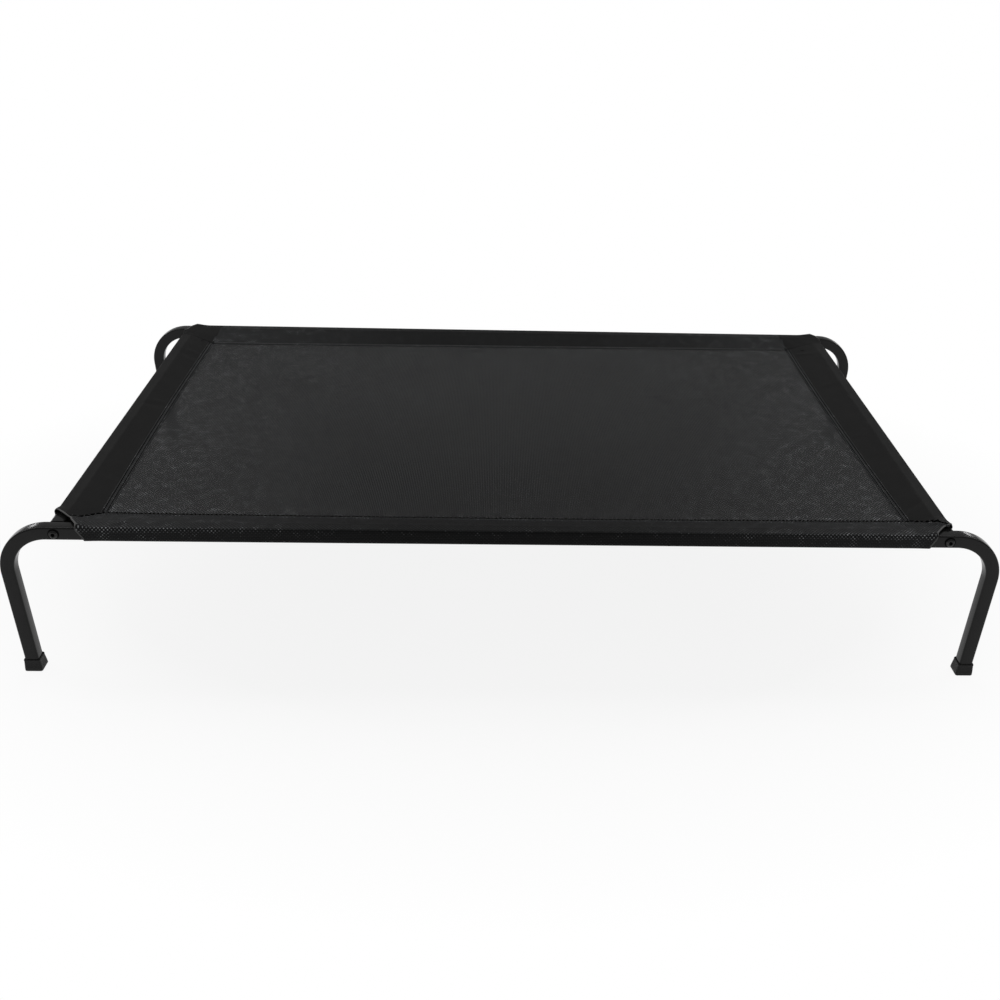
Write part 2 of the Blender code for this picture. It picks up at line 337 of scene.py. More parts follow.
def mesh_cloth(name, openness, tone=1.0, edge=None, fade=0.0):
    """Mesh of coated black yarn: a plain weave, with small square gaps where it is one layer.

    edge gives the cloth's own y at an edge, how far the painted knuckle highlights spread from it and how
    strong they are.
    fade is how much lighter the colour is painted towards the cloth's ends and, on the open panel, its far
    side: painted light.
    """
    n = Nodes(name)
    flat = n.cloth_place()
    split = n.split(flat)
    from_middle = n.math("ABSOLUTE", split[0])
    over, warp_yarn, weft_yarn = plain_weave(n, flat, YARN_PITCH)
    warp_top = n.ramp(over, -0.5, 0.5)
    height = n.add("ShaderNodeMix", {0: warp_top, 2: weft_yarn, 3: warp_yarn}).outputs[0]
    streak = n.noise(n.scaled(flat, (5.0, 420.0, 1.0)), 1.0, 3.0, 0.6)
    mottle = n.noise(flat, 7.0, 4.0, 0.55)
    glint_patch = n.ramp(n.noise(flat, 60.0, 3.0, 0.6), 0.52, 0.66)
    slub = n.ramp(n.noise(n.scaled(flat, (120.0, 430.0, 1.0)), 1.0, 1.0), 0.72, 0.80)
    colour = n.mix(n.ramp(mottle, 0.3, 0.7), grey(0.0055 * tone, -0.02), grey(0.0075 * tone, -0.03))
    colour = n.mix(n.ramp(streak, 0.35, 0.75, 0.0, 0.5), colour, grey(0.0105 * tone, -0.03))
    colour = n.mix(n.times(slub, 0.6), colour, grey(0.035 * tone, -0.02))
    # painted light: the colour is lifted towards the ends and the panel's far side, where lamps and the floor
    # seen through the gaps light it
    if fade:
        painted_light_share = n.ramp(from_middle, 0.15, 0.50)
        if openness:
            painted_light_share = n.math("MAXIMUM", painted_light_share, n.ramp(split[1], -0.25, 0.32))
        colour = shaded(n, colour, n.ramp(painted_light_share, 0.0, 1.0, 1.0, 1.0 + fade))
    # painted highlights: stronger knuckle glints along the given edge and towards the ends, standing in for
    # light caught on the rounded tube edge
    if edge:
        place, spread, painted_light_gain = edge
        near_edge = n.ramp(n.math("ABSOLUTE", n.math("SUBTRACT", split[1], place)), spread, 0.0)
        near_end = n.ramp(from_middle, 0.22, 0.46)
        painted_light_gain = n.ramp(glint_patch, 0.0, 0.6, 0.5 * painted_light_gain, painted_light_gain)
        edge_glints = n.times(n.times(near_edge, near_end), painted_light_gain)
        glint_patch = n.math("MAXIMUM", n.times(glint_patch, n.ramp(near_edge, 0.0, 0.3, 0.35, 1.0)), edge_glints)
        glint_patch = n.times(glint_patch, n.ramp(near_end, 0.0, 1.0, 0.6, 1.6))
    else:
        glint_patch = n.times(glint_patch, 0.35)
    # knuckle colour: the weave's real over-and-under, plus painted glints up to twelve times lighter in
    # patches, with darker knuckles between them
    each = n.ramp(n.noise(flat, 380.0, 1.0), 0.35, 0.65, 0.15, 1.5)
    painted_glint = n.ramp(n.times(glint_patch, each), 0.0, 1.0, 1.10, 12.0)
    dark = n.ramp(glint_patch, 0.0, 1.0, 0.90, 0.40)
    knuckle = n.ramp(over, -0.55, -0.15, painted_glint, dark)
    shade = n.times(n.ramp(height, 0.2, 0.95, 0.45, 1.1), knuckle)
    normal = n.bump(height, 0.6, 0.0009)
    roughness = n.ramp(over, -0.6, 0.4, 0.34, 0.58)
    n.set(Base_Color=shaded(n, colour, shade), Roughness=roughness, Normal=normal, Specular_IOR_Level=0.075)
    if openness:
        cover = n.math("MAXIMUM", warp_yarn, weft_yarn)
        gap = n.ramp(cover, openness - 0.05, openness + 0.05, 1.0, 0.0)
        clear = n.add("ShaderNodeBsdfTransparent")
        blend = n.add("ShaderNodeMixShader", {0: gap, 1: n.shader.outputs[0], 2: clear.outputs[0]})
        n.put(n.output.inputs["Surface"], blend.outputs[0])
    return n.material


def woven_cloth(name, tone=1.0):
    """Close matt weave of the end sleeves, painted a little lighter over the tube's flat top, where light
    falls on it.
    """
    n = Nodes(name)
    flat = n.cloth_place()
    _, warp_yarn, weft_yarn = plain_weave(n, flat, FINE_PITCH)
    height = n.math("MAXIMUM", warp_yarn, weft_yarn)
    mottle = n.noise(flat, 22.0, 5.0, 0.6)
    lint = n.ramp(n.noise(n.scaled(flat, (300.0, 900.0, 1.0)), 1.0, 1.0), 0.74, 0.82)
    from_edge = n.math("ABSOLUTE", n.split(flat)[0])
    ragged = n.math("SUBTRACT", from_edge, n.times(mottle, 0.004))
    # painted light: a lighter strip over the tube's flat top
    painted_light_gain = n.ramp(ragged, 0.0165, 0.0125, 1.0, 1.45)
    colour = n.mix(n.ramp(mottle, 0.3, 0.7), grey(0.0085 * tone), grey(0.0110 * tone, 0.01))
    colour = n.mix(n.times(lint, 0.5), colour, grey(0.035 * tone))
    normal = n.bump(height, 0.35, 0.0002)
    shade = n.times(n.ramp(height, 0.5, 1.0, 0.75, 1.1), painted_light_gain)
    n.set(Base_Color=shaded(n, colour, shade), Roughness=0.72, Normal=normal)
    return n.set(Specular_IOR_Level=0.09, Sheen_Weight=0.006, Sheen_Roughness=0.4)


def twisted_nylon(name, low, high, shine):
    """Twisted nylon for thread, the washers that also paint the shadow round the bolt heads, and the near
    seam's painted shadow band. low and high are its darkest and palest grey.
    """
    n = Nodes(name)
    place = n.place()
    twist = n.noise(place, 1800.0, 2.0)
    colour = n.mix(twist, grey(low), grey(high))
    return n.set(Base_Color=colour, Roughness=0.55, Specular_IOR_Level=shine)


COAT = powder_coat()
ZINC = plated_steel()
BOLT = bolt_steel()
CAP = cap_plastic()
# edge and fade put painted highlights and painted light on these cloths
MESH = mesh_cloth("mesh_cloth", openness=0.140, edge=(-0.336, 0.030, 0.28), fade=2.0)
DOUBLE_MESH = mesh_cloth("doubled_mesh_cloth", openness=0.0, tone=0.9, edge=(0.0, 0.0055, 1.0), fade=2.2)
# the seam tapes' pale tone is a painted highlight on the seam ridges
TAPE = mesh_cloth("seam_tape_painted_highlight", openness=0.0, tone=4.5)
WOVEN = woven_cloth("woven_cloth")
# the hem's pale tone is a painted highlight on the rolled rim
HEM = woven_cloth("hem_cloth_painted_highlight", tone=11.0)
THREAD = twisted_nylon("sewing_thread", low=0.0015, high=0.0050, shine=0.05)
EDGING = twisted_nylon("edging_thread", low=0.0260, high=0.0480, shine=0.10)
# near-black and dull: painted shadow of the near seam's fold, over its dark overlock thread
SEAM_SHADOW_BAND = twisted_nylon("seam_band_painted_shadow", low=0.0004, high=0.0020, shine=0.0)
# a near-black, dull washer under each bolt head, which also paints the shadow ring round the head
WASHER_SHADOW_RING = twisted_nylon("washer_painted_shadow_ring", low=0.0015, high=0.0050, shine=0.03)


# ---- frame
BEND_X = BED_HALF - TUBE / 2 - BEND_RADIUS
BEND_END_Z = RAIL_Z - BEND_RADIUS * (1 + math.sin(LEG_LEAN))
FOOT_X = BEND_X + BEND_RADIUS * math.cos(LEG_LEAN) - BEND_END_Z * math.tan(LEG_LEAN)
CAP_FLOOR = 0.004


def leg_rail_path(sign, y):
    turn = np.linspace(0, math.pi / 2 + LEG_LEAN, 40)
    bend_x = BEND_X + BEND_RADIUS * np.sin(turn)
    bend_z = RAIL_Z - BEND_RADIUS + BEND_RADIUS * np.cos(turn)
    end_z = CAP_FLOOR + GAP + TUBE / 2 * math.sin(LEG_LEAN)
    leg_z = np.linspace(BEND_END_Z, end_z, 8)[1:]
    leg_x = FOOT_X + leg_z * math.tan(LEG_LEAN)
    straight_x = np.linspace(GAP / 2, BEND_X, 12)[:-1]
    x = np.concatenate([straight_x, bend_x, leg_x])
    z = np.concatenate([np.full(len(straight_x), RAIL_Z), bend_z, leg_z])
    return np.stack([sign * x, np.full(len(x), y), z], axis=1)


def foot_cap(name, sign, y):
    """A moulded cap with soft edges, a small rolled lip and a pocket for the leg."""
    base = (CAP_HIGH.y - CAP_LOW.y) / 2 + 0.0001
    height = CAP_HIGH.z - CAP_LOW.z
    top = base - 0.0014
    inside = TUBE / 2 + GAP
    outline = (
        (0.0000, base - 0.0022), (0.0001, base - 0.0013), (0.0005, base - 0.0005), (0.0012, base),
        (0.0060, base - 0.0003), (height - 0.0030, top + 0.0002), (height - 0.0024, top + 0.0003),
        (height - 0.0018, top + 0.0004), (height - 0.0006, top + 0.0001), (height - 0.0001, top - 0.0004),
        (height, top - 0.0009), (height - 0.0003, inside), (height - 0.0040, inside), (CAP_FLOOR, inside),
    )
    rings = []
    for z, half in outline:
        ring = rounded_square(2 * half, min(0.0026, half / 2), 6)[:-1]
        x = sign * (FOOT_X + z * math.tan(LEG_LEAN)) + ring[:, 0]
        rings.append(np.stack([x, y + ring[:, 1], np.full(len(ring), z)], axis=1))
    return sharpen(loft(name, rings, CAP), 50)


# Radii of the corner bolt and its washer
BOLT_HEAD = 0.0057
BOLT_SHANK = 0.0030
BOLT_SOCKET = 0.0023
WASHER = 0.0072
WASHER_HOLE = BOLT_SHANK + 0.0002
BOLT_SPOKES = 48
BOLT_SHARP = 35  # degrees


def corner_bolt(name, x, sign):
    """A domed washer-head bolt with a hexagon socket. sign is the side that its head faces in Y."""
    spin = np.arange(BOLT_SPOKES) / BOLT_SPOKES * 2 * math.pi
    round_ring = np.stack([np.cos(spin), np.sin(spin)], axis=1)
    sector = np.mod(spin, math.pi / 3) - math.pi / 6
    hex_ring = round_ring / np.cos(sector)[:, None]
    # Each ring's radius and how far it stands out from the rail
    turned_part = (
        (0.0026, -0.0320), (BOLT_SHANK, -0.0312), (BOLT_SHANK, 0.0009), (BOLT_HEAD - 0.0002, 0.0009),
        (BOLT_HEAD, 0.0011), (BOLT_HEAD, 0.0014), (BOLT_HEAD - 0.0003, 0.0018), (BOLT_HEAD - 0.0009, 0.0023),
        (0.0041, 0.0028), (0.0034, 0.0031), (0.0029, 0.0030),
    )
    socket = ((BOLT_SOCKET, 0.0026), (BOLT_SOCKET, 0.0006), (0.0006, 0.0002))
    washer = (
        (WASHER_HOLE, 0.0), (WASHER - 0.0003, 0.0), (WASHER, 0.0003), (WASHER - 0.0001, 0.0006),
        (WASHER - 0.0005, 0.0008), (WASHER_HOLE, 0.0008),
    )

    def rings(shape, outline):
        turned = []
        for radius, out in outline:
            y = np.full(BOLT_SPOKES, sign * (OUT_Y + GAP + out))
            across, up = shape.T * radius
            turned.append(np.stack([x - sign * across, y, RAIL_Z + up], axis=1))
        return turned

    bolt = loft(name, rings(round_ring, turned_part) + rings(hex_ring, socket), BOLT)
    # the washer's near-black ring also paints the shadow round the head's rim
    flat_washer = loft(name + "_washer", rings(round_ring, washer), WASHER_SHADOW_RING)
    return sharpen(bolt, BOLT_SHARP), sharpen(flat_washer, BOLT_SHARP)


def build_frame():
    for side in LONG:
        y = SIGN[side] * RAIL_Y
        for end in ENDS:
            x_sign = SIGN[end]
            corner = f"{side}_{end}"
            path = leg_rail_path(x_sign, y)
            rail = square_tube(f"bent_leg_rail_{corner}", path, (0, x_sign, 0), TUBE, COAT)
            finish_piece(sharpen(rail), "frame_coat", f"leg_rail_{corner}")
            cap = foot_cap(f"moulded_foot_cap_{corner}", x_sign, y)
            finish_piece(cap, "cap_plastic", f"foot_cap_{corner}")
            bolt, washer = corner_bolt(f"domed_bolt_{corner}", x_sign * END_X, SIGN[side])
            finish_piece(bolt, "bolt_black", f"corner_bolt_{corner}")
            finish_piece(washer, "cap_plastic")
    for end in ENDS:
        low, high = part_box(f"end_rail_{end}")
        path = [(SIGN[end] * END_X, y, RAIL_Z) for y in np.linspace(low.y, high.y, 9)]
        rail = square_tube(f"cross_rail_{end}", path, (-1, 0, 0), TUBE, COAT)
        finish_piece(sharpen(rail), "frame_coat", f"end_rail_{end}")
    for name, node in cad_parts.items():
        if name.startswith(("rail_joiner", "nut_block")):
            node.data.materials.clear()
            node.data.materials.append(ZINC)


build_frame()


# ---- cover
CLOTH = 0.0009
CLEAR = GAP + CLOTH / 2  # from the tube to the middle of the cloth
TOP = TUBE / 2 + CLEAR  # height of the cloth over a tube, above the tube's middle
EDGE = TUBE_EDGE + CLEAR  # radius of the cloth round a tube's edge
INSET = TUBE / 2 - TUBE_EDGE
INNER = TUBE - TUBE_EDGE  # where the upper sheet leaves the tube, in from its outer face
SEAM_DEPTH = {  # from a rail's outer face to its stitching, at the rail's - end, middle and + end
    "near": (0.0613, 0.0563, 0.0595),
    "far": (0.0660, 0.0598, 0.0527),
    "left": (0.0565, 0.0510, 0.0552),
    "right": (0.0455, 0.0600, 0.0645),
}
CORNER_LIFT = 0.0005  # how much higher the stitching lies at the corners, between two tubes
LIFT_SPREAD = 0.060
CLIMB_SHIFT = {  # how far a long seam moves outwards as it climbs over each end rail
    "near": (0.0580, 0.0340),
    "far": (0.0150, 0.0060),
}
# How far each sleeve reaches along its rail at its - and + ends: at the stitching, the tube's
# upper inner, upper outer, lower outer and lower inner edges, and the stitching underneath.
SLEEVE_REACH = {
    "near": ((0.562, 0.555, 0.5457, 0.537, 0.545, 0.540), (0.583, 0.567, 0.5565, 0.549, 0.549, 0.540)),
    "far": ((0.583, 0.576, 0.567, 0.556, 0.550, 0.529), (0.583, 0.580, 0.571, 0.558, 0.550, 0.520)),
    "left": ((0.0, 0.360, 0.348, 0.345, 0.350, 0.345), (0.0, 0.360, 0.359, 0.352, 0.340, 0.325)),
    "right": ((0.0, 0.360, 0.364, 0.356, 0.350, 0.345), (0.0, 0.366, 0.366, 0.360, 0.344, 0.335)),
}
MOUTH_FLARE = {  # how far the cloth stands away from the tubes at each corner's rim
    ("near", "left"): 0.0042, ("near", "right"): 0.0030, ("far", "left"): 0.0026, ("far", "right"): 0.0026,
}
MOUTH_SPREAD = 0.022
SIDE_FLARE = 0.10  # the flare of an upright face, as a share of a level one's
RIM_SLOPE = 1.27  # how far an end sleeve's rim runs along its rail for each metre across it


def place_on(side, a, s, h):
    """A point of a sleeve: a along its rail, s in from the rail's outer face, h above its middle."""
    a, s, h = np.broadcast_arrays(a, s, h)
    if side in LONG:
        return np.stack([a, SIGN[side] * (OUT_Y - s), RAIL_Z + h], axis=-1)
    return np.stack([SIGN[side] * (OUT_X - s), a, RAIL_Z + h], axis=-1)


def outwards(side):
    """The direction that a sleeve's s falls in: away from the bed."""
    return np.array([0.0, SIGN[side], 0.0] if side in LONG else [SIGN[side], 0.0, 0.0])


def plain_depth(side, a):
    half = OUT_X if side in LONG else OUT_Y
    t = np.asarray(a, float) / half
    low, middle, high = SEAM_DEPTH[side]
    return middle + (high - low) / 2 * t + ((high + low) / 2 - middle) * t * t


def seam_crossing(side, end):
    """Where a long side's stitching meets an end's: along x and y."""
    x_sign, y_sign = SIGN[end], SIGN[side]
    x, y = x_sign * 0.53, y_sign * 0.33
    for _ in range(6):
        x = x_sign * (OUT_X - plain_depth(end, y))
        y = y_sign * (OUT_Y - plain_depth(side, x))
    return float(x), float(y)


CROSSING = {(side, end): seam_crossing(side, end) for side in LONG for end in ENDS}


def corner_lift(x, y):
    lift = 0.0
    for cross_x, cross_y in CROSSING.values():
        lift = lift + np.exp(-((x - cross_x) ** 2 + (y - cross_y) ** 2) / LIFT_SPREAD**2)
    return CORNER_LIFT * lift


def seam_line(side, a):
    """Depth and height of a side's stitching. A long seam goes on over the end rails' tubes."""
    a = np.asarray(a, float)
    depth = plain_depth(side, a)
    spot = place_on(side, a, depth, -SEAM_DROP)
    height = -SEAM_DROP + corner_lift(spot[..., 0], spot[..., 1])
    if side in LONG:
        for end, shift in zip(ENDS, CLIMB_SHIFT[side]):
            sign = SIGN[end]
            cross_x, cross_y = CROSSING[side, end]
            start, stop = abs(cross_x), OUT_X - INNER
            climb = np.clip((sign * a - start) / (stop - start), 0, 1)
            past = np.clip((sign * a - start) / (OUT_X - start), 0, 1)
            corner_height = -SEAM_DROP + corner_lift(cross_x, cross_y)
            height = np.where(climb > 0, corner_height + (TOP - corner_height) * climb, height)
            depth = depth - shift * past
    return depth, height


# The parts of a sleeve's section in order: steps, and the stations of SLEEVE_REACH from and to
SECTION = (
    ("top_slope", 16, 0, 1), ("top_inner", 2, 1, 1), ("top", 8, 1, 2), ("top_outer", 5, 2, 2),
    ("face", 7, 2, 3), ("low_outer", 5, 3, 3), ("bottom", 5, 3, 4), ("low_inner", 2, 4, 4),
    ("low_slope", 10, 4, 5),
)
COLUMNS = [("top_slope", 0.0, 0.0)]  # each with its kind, its share of the way along, and its station
for part, count, first, last in SECTION:
    COLUMNS += [(part, k, first + (last - first) * k) for k in np.linspace(0, 1, count + 1)[1:]]
STATIONS = np.array([station for _, _, station in COLUMNS])
UPPER = sum(kind.startswith("top") for kind, _, _ in COLUMNS)
OUTER_EDGE = UPPER - 3  # the middle of the rounding over the tube's outer upper edge
NEAR_RIM_COLUMN = 17  # where a corner's rim passes from the end sleeve to the long one
FAR_RIM_COLUMN = UPPER - 6


def section_point(kind, k, depth, height):
    """s, h and the outward normal (in s, h) at one step of the section."""
    up = np.arctan2(TOP - height, depth - INNER)
    low = np.minimum(height, 0.0) - CLOTH * 1.2
    down = np.arctan2(TOP + low, depth - INNER)
    leave_s, leave_h = INNER + EDGE * np.sin(up), INSET + EDGE * np.cos(up)
    under_s, under_h = INNER + EDGE * np.sin(down), -INSET - EDGE * np.cos(down)
    zero, one = np.zeros_like(depth), np.ones_like(depth)
    sine, cosine = math.sin(k * math.pi / 2), math.cos(k * math.pi / 2)
    if kind == "top_slope":
        return depth + (leave_s - depth) * k, height + (leave_h - height) * k, np.sin(up), np.cos(up)
    if kind == "top_inner":
        turn = up * (1 - k)
        return INNER + EDGE * np.sin(turn), INSET + EDGE * np.cos(turn), np.sin(turn), np.cos(turn)
    if kind == "top":
        return one * (INNER + (TUBE_EDGE - INNER) * k), one * TOP, zero, one
    if kind == "top_outer":
        return one * (TUBE_EDGE - EDGE * sine), one * (INSET + EDGE * cosine), -one * sine, one * cosine
    if kind == "face":
        return -one * CLEAR, one * (INSET - 2 * INSET * k), -one, zero
    if kind == "low_outer":
        return one * (TUBE_EDGE - EDGE * cosine), -one * (INSET + EDGE * sine), -one * cosine, -one * sine
    if kind == "bottom":
        return one * (TUBE_EDGE + (INNER - TUBE_EDGE) * k), -one * TOP, zero, -one
    if kind == "low_inner":
        turn = down * k
        return INNER + EDGE * np.sin(turn), -INSET - EDGE * np.cos(turn), np.sin(turn), -np.cos(turn)
    return under_s + (depth - under_s) * k, under_h + (low - under_h) * k, np.sin(down), -np.cos(down)


def sleeve_section(side, a):
    depth, height = seam_line(side, a)
    steps = [section_point(kind, k, depth[:, j], height[:, j]) for j, (kind, k, _) in enumerate(COLUMNS)]
    return [np.stack(parts, axis=1) for parts in zip(*steps)]


def end_reach(side, sign):
    """How far each column of a sleeve reaches at one end."""
    reaches = SLEEVE_REACH[side][0 if sign < 0 else 1]
    reach = np.interp(STATIONS, range(6), reaches)
    if side in LONG:
        return reach
    # An end sleeve's upper sheet stops along the long side's stitching, or at the rim before it.
    long_side = "near" if sign < 0 else "far"
    upper = [j for j, (kind, _, _) in enumerate(COLUMNS) if kind in ("top_slope", "top_inner", "top")]
    rim = reach[upper]
    hold = rim.copy()
    for _ in range(4):
        depth, height = seam_line(side, sign * hold)
        steps = [section_point(*COLUMNS[j][:2], depth[i:i + 1], height[i:i + 1]) for i, j in enumerate(upper)]
        s = np.array([float(step[0][0]) for step in steps])
        long_depth, _ = seam_line(long_side, SIGN[side] * (OUT_X - s))
        hold = OUT_Y - long_depth
    rim = np.where(s > INNER, reaches[1] + RIM_SLOPE * (s - INNER), rim)
    reach[upper] = np.minimum(hold, rim)
    return reach


def hem_curve(side, end):
    """The rim of the cover at one corner, from the end sleeve's lower edge round to the long sleeve's."""
    points = []
    last = NEAR_RIM_COLUMN if side == "near" else FAR_RIM_COLUMN
    columns = ((end, SIGN[side], range(UPPER + 8, last, -1)), (side, SIGN[end], range(UPPER + 8)))
    for part, sign, wanted in columns:
        reach = end_reach(part, sign)
        turned_y = abs(points[-1][1]) if points else 0.0
        for j in wanted:
            a = np.array([sign * reach[j]])
            s, h, _, _ = section_point(*COLUMNS[j][:2], *seam_line(part, a))
            point = place_on(part, a, s, h)[0]
            if side == "near" or part == end or abs(point[1]) > turned_y:
                points.append(point)
    return np.array(points)


def away_from(points, line):
    """The distance of each point from a line of points."""
    flat = points.reshape(-1, 3)
    best = np.full(len(flat), 1e9)
    for a, b in zip(line[:-1], line[1:]):
        step = b - a
        share = np.clip((flat - a) @ step / max(step @ step, 1e-12), 0, 1)
        best = np.minimum(best, np.linalg.norm(flat - a - share[:, None] * step, axis=1))
    return best.reshape(points.shape[:-1])


def smooth(t):
    t = np.clip(t, 0, 1)
    return t * t * (3 - 2 * t)


HEMS = {(side, end): hem_curve(side, end) for side in LONG for end in ENDS}


def mouth_flare(points, normals):
    for (side, end), line in HEMS.items():
        lift = smooth(1 - away_from(points, line) / MOUTH_SPREAD) ** 1.3
        up = SIDE_FLARE + (1 - SIDE_FLARE) * np.clip(normals[..., 2], 0, 1) ** 2
        points = points + normals * (MOUTH_FLARE[side, end] * lift * up)[..., None]
    return points


# Each fold: where along the rail, at which station, its length in stations, width, height and slant.
WRINKLES = {
    "left": (
        (0.262, 0.45, 0.30, 0.0055, 0.0011, 0.012), (0.246, 0.60, 0.32, 0.0050, -0.0008, 0.016),
        (0.228, 0.42, 0.26, 0.0055, 0.0009, 0.010), (0.036, 0.55, 0.35, 0.0060, 0.0008, -0.010),
        (0.020, 0.70, 0.30, 0.0050, -0.0007, -0.012), (-0.240, 0.50, 0.30, 0.0080, 0.0006, 0.010),
    ),
    "right": (
        (0.300, 0.50, 0.30, 0.0060, 0.0009, -0.014), (0.150, 0.60, 0.30, 0.0070, 0.0005, 0.012),
        (-0.298, 0.62, 0.36, 0.0060, -0.0012, 0.020), (-0.060, 0.40, 0.28, 0.0060, 0.0006, 0.010),
    ),
    "near": (
        (-0.492, 0.95, 0.75, 0.0045, 0.0010, -0.018), (-0.482, 1.05, 0.75, 0.0040, -0.0009, -0.018),
        (0.524, 0.55, 0.40, 0.0035, -0.0010, 0.016), (0.545, 0.60, 0.35, 0.0120, 0.0010, 0.0),
        (-0.380, 0.60, 0.40, 0.0090, 0.0005, 0.012), (0.330, 0.60, 0.40, 0.0090, 0.0004, -0.012),
    ),
    "far": (
        (-0.522, 0.75, 0.60, 0.0070, 0.0012, 0.018), (0.520, 0.75, 0.60, 0.0070, 0.0012, -0.018),
        (-0.300, 0.60, 0.40, 0.0090, 0.0004, 0.012), (0.250, 0.60, 0.40, 0.0090, 0.0004, -0.012),
    ),
}


def wrinkle(side, a, stations):
    """Small folds across a sleeve's upper sheet, as heights."""
    height = np.zeros(np.broadcast_shapes(a.shape, stations.shape))
    for place, at, length, width, rise, slant in WRINKLES[side]:
        across = a - place - slant * (stations - at)
        height = height + rise * np.exp(-(across / width) ** 2 - ((stations - at) / length) ** 2)
    return height


def puckers(place, from_seam, height, pitch, wave, fade):
    """The ripples that stitching draws in cloth, as heights that fade away from the seam."""
    return height * np.sin(place * 2 * math.pi / pitch + 2 * np.sin(wave * place)) * np.exp(-from_seam / fade)


# Half the evenly divided middle of a sleeve's length, and its steps
LONG_CORE, LONG_STEP = 0.49, 0.0042
END_CORE, END_STEP = 0.29, 0.0040
MOUTH_ROWS = 23  # from the middle part to each mouth
TUBE_FOLD = 0.25  # how much of a fold is left where the cloth turns down over the tube


def sleeve(side, material):
    """A sleeve: one strip of cloth from the stitching, round the tube and back under the stitching."""
    reach_low, reach_high = end_reach(side, -1), end_reach(side, 1)
    core, step = (LONG_CORE, LONG_STEP) if side in LONG else (END_CORE, END_STEP)
    middle = np.linspace(-core, core, int(core * 2 / step) + 1)
    ends = np.linspace(0, 1, MOUTH_ROWS)[1:]
    low = -core - (reach_low - core) * ends[::-1, None]
    high = core + (reach_high - core) * ends[:, None]
    a = np.concatenate([low, np.repeat(middle[:, None], len(COLUMNS), axis=1), high])
    s, h, normal_s, normal_h = sleeve_section(side, a)
    normals = -normal_s[..., None] * outwards(side) + normal_h[..., None] * np.array([0.0, 0.0, 1.0])
    points = place_on(side, a, s, h)
    steps = np.hypot(np.diff(s), np.diff(h))
    girth = np.concatenate([np.zeros((len(a), 1)), np.cumsum(steps, axis=1)], axis=1)
    upper = np.array([kind.startswith("top") or kind == "face" for kind, _, _ in COLUMNS], float)
    ripples = puckers(a, girth, height=0.00022, pitch=0.0108, wave=37, fade=0.006) * upper
    over_tube = np.array([kind in ("top_outer", "face") for kind, _, _ in COLUMNS], float)
    folds = wrinkle(side, a, STATIONS[None]) * upper * (1 - (1 - TUBE_FOLD) * over_tube)
    held = smooth(girth / 0.004)
    points = points + normals * (folds * held + ripples)[..., None]
    points = mouth_flare(points, normals)
    across = girth - girth[:, OUTER_EDGE:OUTER_EDGE + 1]
    uvs = np.stack([a, across], axis=-1) if side in LONG else np.stack([across, a], axis=-1)
    piece = make_grid(f"sewn_sleeve_{side}", points, uvs, material, flip=side in ("near", "right"))
    if side == "far":
        cover_corners(piece)
    skin = piece.modifiers.new("cloth", "SOLIDIFY")
    skin.thickness = CLOTH
    skin.offset = 0
    return piece


CORNER_SLANT = 0.2  # how far the two cloths' joint leans inwards for each metre outwards


def cover_corners(piece):
    """The end sleeves' cloth runs on over the far corners, up to the bed's edge."""
    piece.data.materials.append(WOVEN)
    for face in piece.data.polygons:
        middle = face.center
        end = "left" if middle.x < 0 else "right"
        cross_x, cross_y = CROSSING["far", end]
        seam_x = abs(cross_x) - CORNER_SLANT * (middle.y - cross_y)
        face.material_index = int(abs(middle.x) > seam_x)


SAG = 0.006
PANEL_STEPS = (190, 120)  # along x and y


def panel():
    """The stretched panel between the four lines of stitching, with a slight sag."""
    evenly = [np.linspace(-1, 1, count) for count in PANEL_STEPS]
    grid_t, grid_r = np.meshgrid(*(np.sin(t * math.pi / 2) * 0.5 + t * 0.5 for t in evenly))
    x = grid_t * (OUT_X - 0.053)  # a first guess, drawn to the stitching below
    y = grid_r * (OUT_Y - 0.055)
    for _ in range(5):
        left, right = plain_depth("left", y) - OUT_X, OUT_X - plain_depth("right", y)
        near, far = plain_depth("near", x) - OUT_Y, OUT_Y - plain_depth("far", x)
        x = left + (right - left) * (grid_t + 1) / 2
        y = near + (far - near) * (grid_r + 1) / 2
    sag = SAG * (1 - grid_t**2) ** 0.8 * (1 - grid_r**2) ** 0.8
    edge_x = np.minimum(x - left, right - x)
    edge_y = np.minimum(y - near, far - y)
    ripples = puckers(y, edge_x, height=0.0003, pitch=0.0135, wave=31, fade=0.007)
    ripples += puckers(x, edge_y, height=0.0003, pitch=0.0120, wave=23, fade=0.006)
    held = smooth(np.minimum(edge_x, edge_y) / 0.0015)
    z = RAIL_Z - SEAM_DROP + corner_lift(x, y) - sag + ripples * held
    points = np.stack([x, y, z], axis=-1)
    uvs = np.stack([x, y], axis=-1)
    return make_grid("stretched_mesh_panel", points, uvs, MESH)


STITCH_PITCH = 0.0054
STITCH_LENGTH = 0.0040
STITCH_RADIUS = 0.00080
EDGE_THREAD = 0.00050  # the radius of the long seams' stitches
TACK_RADIUS = 0.0006
LOOSE_RADIUS = 0.0004
OVERLOCK = 1.0  # how far a long seam's stitches slant


def seam_frame(side, a):
    """Points of a seam with its directions: along it, inwards across it, and up from the cloth."""
    depth, height = seam_line(side, a)
    points = place_on(side, a, depth, height)
    forward = unit(np.gradient(points, axis=0))
    inward = -outwards(side) * np.ones_like(points)
    up = np.cross(forward, inward)
    up = unit(up * np.sign(up[:, 2:]))
    inward = np.cross(up, forward)
    inward *= np.sign(inward @ -outwards(side))[:, None]
    return points, forward, inward, up


